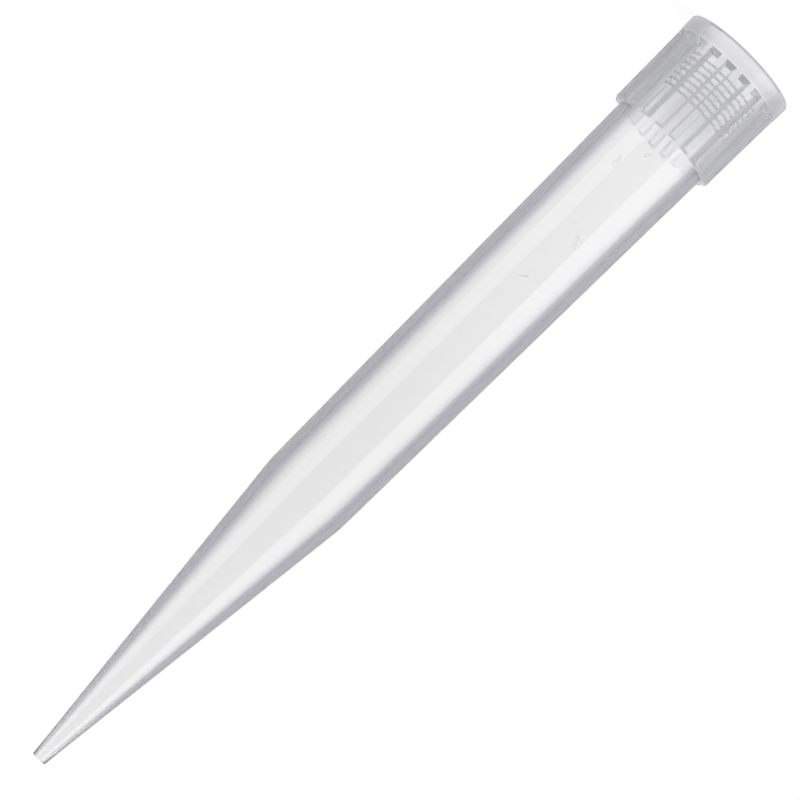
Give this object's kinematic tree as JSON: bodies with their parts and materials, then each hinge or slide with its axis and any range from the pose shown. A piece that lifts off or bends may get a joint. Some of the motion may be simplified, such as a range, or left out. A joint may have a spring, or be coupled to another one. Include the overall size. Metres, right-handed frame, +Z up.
{
  "type": "pipette tip",
  "caption": "Large-volume disposable pipette tip: ribbed collar with a sealing socket, slightly tapered barrel and conical nozzle, in translucent moulded plastic.",
  "frame": {"origin": "centre of the mouth's rim face, on which the tip stands", "axes": "+Z up the tip's axis from the mouth to the narrow outlet; +X through the middle of one collar fin"},
  "size_m": [0.016, 0.016, 0.12],
  "materials": {
    "polypropylene": "natural translucent polypropylene, smooth moulded gloss"
  },
  "bodies": {
    "root": {"pipette_tip": "polypropylene"}
  },
  "joints": []
}
